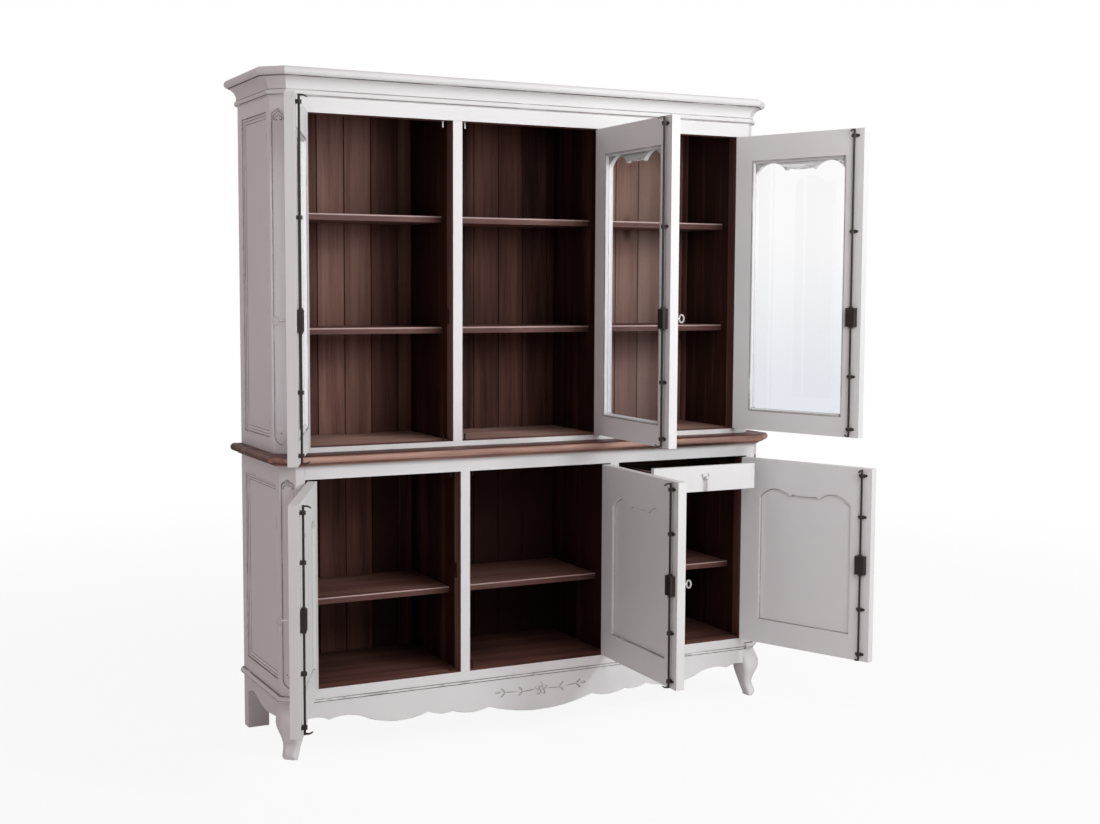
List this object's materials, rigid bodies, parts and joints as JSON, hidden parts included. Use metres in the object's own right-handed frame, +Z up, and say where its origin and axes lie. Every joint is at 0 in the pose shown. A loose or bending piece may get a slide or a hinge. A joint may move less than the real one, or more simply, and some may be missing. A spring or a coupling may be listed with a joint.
{
  "type": "buffet and hutch",
  "caption": "Painted country buffet and hutch with stained interior, glazed doors above panelled doors, rod latches, an inner drawer, canted corners and cabriole front legs.",
  "frame": {"origin": "centre of the body's footprint on the floor", "axes": "+X to the viewer's right along the front, +Y from front to back, +Z up"},
  "size_m": [2.0421, 0.964, 2.1],
  "materials": {
    "painted_wood": "painted, rubbed back at the edges",
    "stained_wood": "stained and waxed",
    "clear_glass": "clear",
    "bronzed_iron": "bronzed",
    "bright_steel": "polished"
  },
  "bodies": {
    "cabinet": {"base_corner_posts": "painted_wood", "base_side_frames": "painted_wood", "base_side_panels": "painted_wood", "base_rails": "painted_wood", "base_mullions": "painted_wood", "base_apron": "painted_wood", "base_plinth_moulding": "painted_wood", "base_floor": "stained_wood", "base_partitions": "stained_wood", "base_shelves": "stained_wood", "base_back_boards": "stained_wood", "drawer_runners": "stained_wood", "worktop": "stained_wood", "hutch_corner_posts": "painted_wood", "hutch_side_frames": "painted_wood", "hutch_side_panels": "painted_wood", "hutch_rails": "painted_wood", "hutch_mullions": "painted_wood", "hutch_floor": "stained_wood", "hutch_top": "painted_wood", "hutch_partitions": "stained_wood", "hutch_shelves": "stained_wood", "hutch_back_boards": "stained_wood", "cornice": "painted_wood", "door_keepers": "bronzed_iron", "frame_hinge_leaves": "bronzed_iron"},
    "upper_left_door": {"upper_left_frame": "painted_wood", "upper_left_pane": "clear_glass", "upper_left_fittings": "bronzed_iron"},
    "upper_left_rod": {"upper_left_latch_rod": "bronzed_iron"},
    "upper_left_key": {"upper_left_key": "bright_steel"},
    "upper_centre_door": {"upper_centre_frame": "painted_wood", "upper_centre_pane": "clear_glass", "upper_centre_fittings": "bronzed_iron"},
    "upper_centre_rod": {"upper_centre_latch_rod": "bronzed_iron"},
    "upper_centre_key": {"upper_centre_key": "bright_steel"},
    "upper_right_door": {"upper_right_frame": "painted_wood", "upper_right_pane": "clear_glass", "upper_right_fittings": "bronzed_iron"},
    "upper_right_rod": {"upper_right_latch_rod": "bronzed_iron"},
    "upper_right_key": {"upper_right_key": "bright_steel"},
    "lower_left_door": {"lower_left_frame": "painted_wood", "lower_left_panel": "painted_wood", "lower_left_fittings": "bronzed_iron"},
    "lower_left_rod": {"lower_left_latch_rod": "bronzed_iron"},
    "lower_left_key": {"lower_left_key": "bright_steel"},
    "lower_centre_door": {"lower_centre_frame": "painted_wood", "lower_centre_panel": "painted_wood", "lower_centre_fittings": "bronzed_iron"},
    "lower_centre_rod": {"lower_centre_latch_rod": "bronzed_iron"},
    "lower_centre_key": {"lower_centre_key": "bright_steel"},
    "lower_right_door": {"lower_right_frame": "painted_wood", "lower_right_panel": "painted_wood", "lower_right_fittings": "bronzed_iron"},
    "lower_right_rod": {"lower_right_latch_rod": "bronzed_iron"},
    "lower_right_key": {"lower_right_key": "bright_steel"},
    "drawer": {"drawer_front": "painted_wood", "drawer_box": "stained_wood", "drawer_pull_mount": "bright_steel"},
    "drawer_pull": {"drawer_pull_drop": "bright_steel"}
  },
  "joints": [
    {"name": "upper_left_door_hinge", "type": "hinge", "parent": "cabinet", "child": "upper_left_door", "pos_m": [-0.8015, -0.17, 0.957], "axis": [0, 0, -1], "range_deg": [-112, 23]},
    {"name": "upper_left_rod_turn", "type": "hinge", "parent": "upper_left_door", "child": "upper_left_rod", "pos_m": [-0.94143, -0.62846, 0.957], "axis": [0, 0, -1], "range_deg": [0, 90]},
    {"name": "upper_left_key_turn", "type": "hinge", "parent": "upper_left_door", "child": "upper_left_key", "pos_m": [-0.97574, -0.6146, 1.354], "axis": [-0.9272, 0.3746, 0], "range_deg": [0, 90]},
    {"name": "upper_centre_door_hinge", "type": "hinge", "parent": "cabinet", "child": "upper_centre_door", "pos_m": [0.2555, -0.17, 0.957], "axis": [0, 0, 1], "range_deg": [-88, 22]},
    {"name": "upper_centre_rod_turn", "type": "hinge", "parent": "upper_centre_door", "child": "upper_centre_rod", "pos_m": [0.19686, -0.64574, 0.957], "axis": [0, 0, 1], "range_deg": [0, 90]},
    {"name": "upper_centre_key_turn", "type": "hinge", "parent": "upper_centre_door", "child": "upper_centre_key", "pos_m": [0.23384, -0.64704, 1.354], "axis": [0.9994, -0.0349, 0], "range_deg": [0, 90]},
    {"name": "upper_right_door_hinge", "type": "hinge", "parent": "cabinet", "child": "upper_right_door", "pos_m": [0.8015, -0.17, 0.957], "axis": [0, 0, 1], "range_deg": [-110, 25]},
    {"name": "upper_right_rod_turn", "type": "hinge", "parent": "upper_right_door", "child": "upper_right_rod", "pos_m": [0.92535, -0.63307, 0.957], "axis": [0, 0, 1], "range_deg": [0, 90]},
    {"name": "upper_right_key_turn", "type": "hinge", "parent": "upper_right_door", "child": "upper_right_key", "pos_m": [0.96012, -0.62041, 1.354], "axis": [0.9397, 0.342, 0], "range_deg": [0, 90]},
    {"name": "lower_left_door_hinge", "type": "hinge", "parent": "cabinet", "child": "lower_left_door", "pos_m": [-0.8015, -0.23, 0.217], "axis": [0, 0, -1], "range_deg": [-114, 21]},
    {"name": "lower_left_rod_turn", "type": "hinge", "parent": "lower_left_door", "child": "lower_left_rod", "pos_m": [-0.95735, -0.6833, 0.217], "axis": [0, 0, -1], "range_deg": [0, 90]},
    {"name": "lower_left_key_turn", "type": "hinge", "parent": "lower_left_door", "child": "lower_left_key", "pos_m": [-0.99115, -0.66825, 0.539], "axis": [-0.9135, 0.4067, 0], "range_deg": [0, 90]},
    {"name": "lower_centre_door_hinge", "type": "hinge", "parent": "cabinet", "child": "lower_centre_door", "pos_m": [0.2555, -0.23, 0.217], "axis": [0, 0, 1], "range_deg": [-88, 22]},
    {"name": "lower_centre_rod_turn", "type": "hinge", "parent": "lower_centre_door", "child": "lower_centre_rod", "pos_m": [0.19686, -0.70574, 0.217], "axis": [0, 0, 1], "range_deg": [0, 90]},
    {"name": "lower_centre_key_turn", "type": "hinge", "parent": "lower_centre_door", "child": "lower_centre_key", "pos_m": [0.23384, -0.70703, 0.539], "axis": [0.9994, -0.0349, 0], "range_deg": [0, 90]},
    {"name": "lower_right_door_hinge", "type": "hinge", "parent": "cabinet", "child": "lower_right_door", "pos_m": [0.8015, -0.23, 0.217], "axis": [0, 0, 1], "range_deg": [-112, 23]},
    {"name": "lower_right_rod_turn", "type": "hinge", "parent": "lower_right_door", "child": "lower_right_rod", "pos_m": [0.94143, -0.68846, 0.217], "axis": [0, 0, 1], "range_deg": [0, 90]},
    {"name": "lower_right_key_turn", "type": "hinge", "parent": "lower_right_door", "child": "lower_right_key", "pos_m": [0.97574, -0.6746, 0.539], "axis": [0.9272, 0.3746, 0], "range_deg": [0, 90]},
    {"name": "drawer_slide", "type": "slide", "parent": "cabinet", "child": "drawer", "axis": [0, -1, 0], "range_m": [-0.2242, 0.0462]},
    {"name": "drawer_pull_swing", "type": "hinge", "parent": "drawer", "child": "drawer_pull", "pos_m": [0.546, -0.369, 0.81172], "axis": [-1, 0, 0], "range_deg": [0, 75]}
  ],
  "couplings": [
    {"joint": "upper_left_key_turn", "follows": "upper_left_rod_turn", "ratio": 1},
    {"joint": "upper_centre_key_turn", "follows": "upper_centre_rod_turn", "ratio": 1},
    {"joint": "upper_right_key_turn", "follows": "upper_right_rod_turn", "ratio": 1},
    {"joint": "lower_left_key_turn", "follows": "lower_left_rod_turn", "ratio": 1},
    {"joint": "lower_centre_key_turn", "follows": "lower_centre_rod_turn", "ratio": 1},
    {"joint": "lower_right_key_turn", "follows": "lower_right_rod_turn", "ratio": 1},
    {"joint": "drawer_slide", "follows": "lower_right_door_hinge", "m_per_rad": 0.11459}
  ]
}
